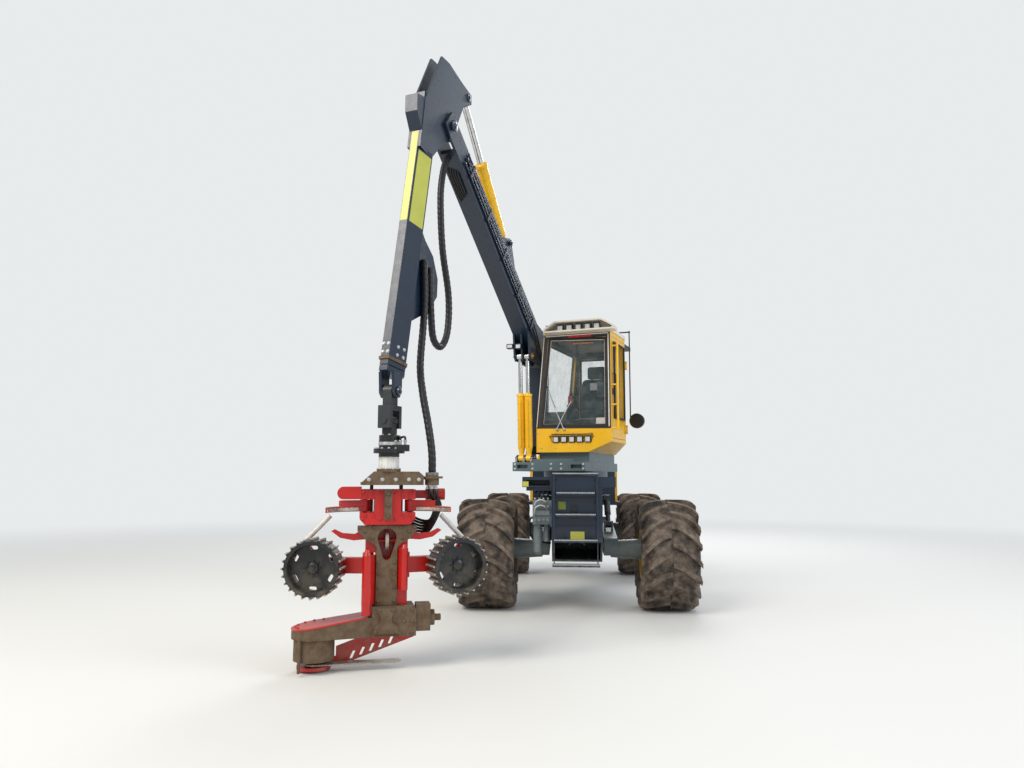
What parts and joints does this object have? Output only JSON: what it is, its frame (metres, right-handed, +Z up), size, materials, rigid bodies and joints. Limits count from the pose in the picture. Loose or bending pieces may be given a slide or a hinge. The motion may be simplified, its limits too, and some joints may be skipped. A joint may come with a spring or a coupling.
{
  "type": "forestry harvester",
  "caption": "Wheeled forestry harvester with hinged frames, swing-arm wheels, slewing cab and knuckle crane, and a red felling head with feed rollers.",
  "frame": {"origin": "ground point under the slewing axis of the upper carriage, between the front wheels' rear halves", "axes": "+Z up, -Y the way the lower machine drives forward, +X to its left side"},
  "size_m": [4.2099, 8.7914, 6.25],
  "materials": {
    "dark_paint": "semi-gloss",
    "grey_paint": "satin",
    "yellow_paint": "gloss",
    "white_paint": "satin",
    "red_paint": "semi-gloss",
    "worn_steel": "worn",
    "rod_chrome": "polished",
    "black_steel": "satin",
    "engine_iron": "cast",
    "tyre": "muddy",
    "hose_rubber": "matt",
    "window_glass": "clear",
    "lamp_lens": "clear lens in dark housing",
    "seat_cloth": "woven",
    "cab_plastic": "moulded"
  },
  "bodies": {
    "front": {"front_frame": "dark_paint", "front_arms": "grey_paint", "front_struts": "yellow_paint", "ladder": "dark_paint", "slew_ring": "grey_paint", "valve_block": "engine_iron"},
    "rear": {"rear_frame": "dark_paint", "rear_arms": "grey_paint", "rear_struts": "yellow_paint", "engine_block": "engine_iron", "tanks": "dark_paint"},
    "hood": {"engine_hood": "yellow_paint"},
    "steer_barrel_left": {"steer_barrel_left": "yellow_paint"},
    "steer_barrel_right": {"steer_barrel_right": "yellow_paint"},
    "steer_rod_left": {"steer_rod_left": "rod_chrome"},
    "steer_rod_right": {"steer_rod_right": "rod_chrome"},
    "wheel_front_left": {"tyre_front_left": "tyre", "rim_front_left": "yellow_paint"},
    "wheel_front_right": {"tyre_front_right": "tyre", "rim_front_right": "yellow_paint"},
    "wheel_rear_left": {"tyre_rear_left": "tyre", "rim_rear_left": "yellow_paint"},
    "wheel_rear_right": {"tyre_rear_right": "tyre", "rim_rear_right": "yellow_paint"},
    "upper": {"deck": "grey_paint", "crane_base": "dark_paint", "cab_shell": "yellow_paint", "cab_roof": "white_paint", "cab_glass": "window_glass", "cab_lamps": "lamp_lens", "cab_seat": "seat_cloth", "cab_controls": "cab_plastic", "cab_mirror": "black_steel"},
    "door": {"cab_door": "yellow_paint"},
    "boom": {"main_boom": "dark_paint", "stick_hoses": "hose_rubber"},
    "lift_barrels": {"lift_barrels": "yellow_paint"},
    "lift_rods": {"lift_rods": "rod_chrome"},
    "stick_barrel": {"stick_barrel": "yellow_paint"},
    "stick_rod": {"stick_rod": "rod_chrome"},
    "stick": {"stick": "dark_paint", "head_hoses": "hose_rubber"},
    "extension": {"stick_extension": "dark_paint"},
    "link": {"tip_link": "grey_paint"},
    "cross": {"rotator_cross": "black_steel"},
    "hanger": {"head_hanger": "worn_steel"},
    "head": {"head_frame": "red_paint", "wear_plates": "worn_steel", "saw_box": "worn_steel", "head_base": "worn_steel", "saw_covers": "red_paint"},
    "measuring_wheel": {"measuring_wheel": "worn_steel"},
    "saw_bar": {"saw_bar": "worn_steel"},
    "feed_arm_left": {"feed_arm_left": "red_paint"},
    "feed_arm_right": {"feed_arm_right": "red_paint"},
    "roller_left": {"feed_roller_left": "black_steel"},
    "roller_right": {"feed_roller_right": "black_steel"},
    "knife_left": {"knife_left": "red_paint"},
    "knife_right": {"knife_right": "red_paint"}
  },
  "joints": [
    {"name": "wheel_front_left", "type": "hinge", "parent": "front", "child": "wheel_front_left", "pos_m": [1.175, -0.367, 0.71], "axis": [1, 0, 0], "continuous": true},
    {"name": "wheel_front_right", "type": "hinge", "parent": "front", "child": "wheel_front_right", "pos_m": [-1.175, -0.367, 0.71], "axis": [1, 0, 0], "continuous": true},
    {"name": "wheel_rear_left", "type": "hinge", "parent": "rear", "child": "wheel_rear_left", "pos_m": [1.175, 3.333, 0.71], "axis": [1, 0, 0], "continuous": true},
    {"name": "wheel_rear_right", "type": "hinge", "parent": "rear", "child": "wheel_rear_right", "pos_m": [-1.175, 3.333, 0.71], "axis": [1, 0, 0], "continuous": true},
    {"name": "steering", "type": "hinge", "parent": "front", "child": "rear", "pos_m": [0, 1.5, 1.06], "axis": [0, 0, 1], "range_deg": [-38, 38]},
    {"name": "steer_barrel_left_turn", "type": "hinge", "parent": "front", "child": "steer_barrel_left", "pos_m": [0.2, 0.8, 1.06], "axis": [0, 0, 1], "range_deg": [-12.4, 12.4]},
    {"name": "steer_rod_left_slide", "type": "slide", "parent": "steer_barrel_left", "child": "steer_rod_left", "axis": [0.0797, 0.9968, 0], "range_m": [-0.1695, 0.1695]},
    {"name": "steer_barrel_right_turn", "type": "hinge", "parent": "front", "child": "steer_barrel_right", "pos_m": [-0.2, 0.8, 1.06], "axis": [0, 0, 1], "range_deg": [-12.4, 12.4]},
    {"name": "steer_rod_right_slide", "type": "slide", "parent": "steer_barrel_right", "child": "steer_rod_right", "axis": [-0.0797, 0.9968, 0], "range_m": [-0.1695, 0.1695]},
    {"name": "hood_open", "type": "hinge", "parent": "rear", "child": "hood", "pos_m": [0, 4.52, 1.29], "axis": [-1, 0, 0], "range_deg": [0, 50]},
    {"name": "slew", "type": "hinge", "parent": "front", "child": "upper", "pos_m": [0, 0, 1.8], "axis": [0, 0, 1], "range_deg": [-112, 148]},
    {"name": "door_open", "type": "hinge", "parent": "upper", "child": "door", "pos_m": [0.71791, -0.0072, 2.8], "axis": [0, 0, 1], "range_deg": [0, 80]},
    {"name": "boom_lift", "type": "hinge", "parent": "upper", "child": "boom", "pos_m": [-0.51761, 0.07355, 2.14], "axis": [-0.9511, 0.309, 0], "range_deg": [-40, 10]},
    {"name": "lift_barrels_turn", "type": "hinge", "parent": "upper", "child": "lift_barrels", "pos_m": [-0.68139, -0.43051, 1.96], "axis": [-0.9511, 0.309, 0], "range_deg": [-40.27, 10.44]},
    {"name": "lift_rods_slide", "type": "slide", "parent": "lift_barrels", "child": "lift_rods", "axis": [-0.0157, -0.0482, 0.9987], "range_m": [-0.3875, 0.0991]},
    {"name": "stick_swing", "type": "hinge", "parent": "boom", "child": "stick", "pos_m": [-1.45702, -2.81766, 5.53], "axis": [0.9511, -0.309, 0], "range_deg": [-50, 15], "deforming": ["stick_hoses"]},
    {"name": "stick_barrel_turn", "type": "hinge", "parent": "boom", "child": "stick_barrel", "pos_m": [-0.93169, -1.20087, 4.7], "axis": [0.9511, -0.309, 0], "range_deg": [-1.88, 5.09]},
    {"name": "stick_rod_slide", "type": "slide", "parent": "stick_barrel", "child": "stick_rod", "axis": [-0.2048, -0.6303, 0.7489], "range_m": [-0.6108, 0.1853]},
    {"name": "extension_slide", "type": "slide", "parent": "stick", "child": "extension", "axis": [0.0637, 0.1961, 0.9785], "range_m": [-1.3, 0], "deforming": ["head_hoses"]},
    {"name": "link_swing", "type": "hinge", "parent": "extension", "child": "link", "pos_m": [-1.77222, -3.78774, 2.505], "axis": [0.9511, -0.309, 0], "range_deg": [-50, 50], "deforming": ["head_hoses"]},
    {"name": "cross_swing", "type": "hinge", "parent": "link", "child": "cross", "pos_m": [-1.77222, -3.78774, 2.23], "axis": [-0.309, -0.9511, 0], "range_deg": [-25, 25], "deforming": ["head_hoses"]},
    {"name": "rotator", "type": "hinge", "parent": "cross", "child": "hanger", "pos_m": [-1.77222, -3.78774, 1.94], "axis": [0, 0, 1], "range_deg": [-170, 170], "deforming": ["head_hoses"]},
    {"name": "head_tilt", "type": "hinge", "parent": "hanger", "child": "head", "pos_m": [-1.86814, -3.45322, 1.18], "axis": [-0.9613, -0.2756, 0], "range_deg": [-90, 0]},
    {"name": "measuring_wheel_spin", "type": "hinge", "parent": "head", "child": "measuring_wheel", "pos_m": [-1.7984, -3.69642, 1.13], "axis": [0.9613, 0.2756, 0], "continuous": true},
    {"name": "saw_swing", "type": "hinge", "parent": "head", "child": "saw_bar", "pos_m": [-2.38474, -3.90096, 0.06], "axis": [0, 0, -1], "range_deg": [0, 100]},
    {"name": "feed_arm_left", "type": "hinge", "parent": "head", "child": "feed_arm_left", "pos_m": [-1.64393, -3.63652, 0.91], "axis": [0, 0, -1], "range_deg": [0, 58]},
    {"name": "roller_left_spin", "type": "hinge", "parent": "feed_arm_left", "child": "roller_left", "pos_m": [-1.15701, -3.61133, 0.91], "axis": [0.4695, -0.8829, 0], "continuous": true},
    {"name": "knife_left", "type": "hinge", "parent": "head", "child": "knife_left", "pos_m": [-1.60548, -3.6255, 1.45], "axis": [0, 0, -1], "range_deg": [0, 55]},
    {"name": "feed_arm_right", "type": "hinge", "parent": "head", "child": "feed_arm_right", "pos_m": [-1.96114, -3.72748, 0.91], "axis": [0, 0, 1], "range_deg": [0, 58]},
    {"name": "roller_right_spin", "type": "hinge", "parent": "feed_arm_right", "child": "roller_right", "pos_m": [-2.38742, -3.96415, 0.91], "axis": [0.0698, -0.9976, 0], "continuous": true},
    {"name": "knife_right", "type": "hinge", "parent": "head", "child": "knife_right", "pos_m": [-1.99959, -3.73851, 1.45], "axis": [0, 0, 1], "range_deg": [0, 55]}
  ],
  "couplings": [
    {"joint": "steer_barrel_left_turn", "follows": "steering", "ratio": 0.31314},
    {"joint": "steer_barrel_right_turn", "follows": "steering", "ratio": 0.31314},
    {"joint": "steer_rod_left_slide", "follows": "steering", "m_per_rad": 0.25105},
    {"joint": "steer_rod_right_slide", "follows": "steering", "m_per_rad": -0.25105},
    {"joint": "lift_barrels_turn", "follows": "boom_lift", "ratio": 0.99435},
    {"joint": "lift_rods_slide", "follows": "boom_lift", "m_per_rad": 0.55074},
    {"joint": "stick_barrel_turn", "follows": "stick_swing", "ratio": -0.091754},
    {"joint": "stick_rod_slide", "follows": "stick_swing", "m_per_rad": 0.69652},
    {"joint": "feed_arm_right", "follows": "feed_arm_left", "ratio": 1},
    {"joint": "knife_right", "follows": "knife_left", "ratio": 1}
  ]
}
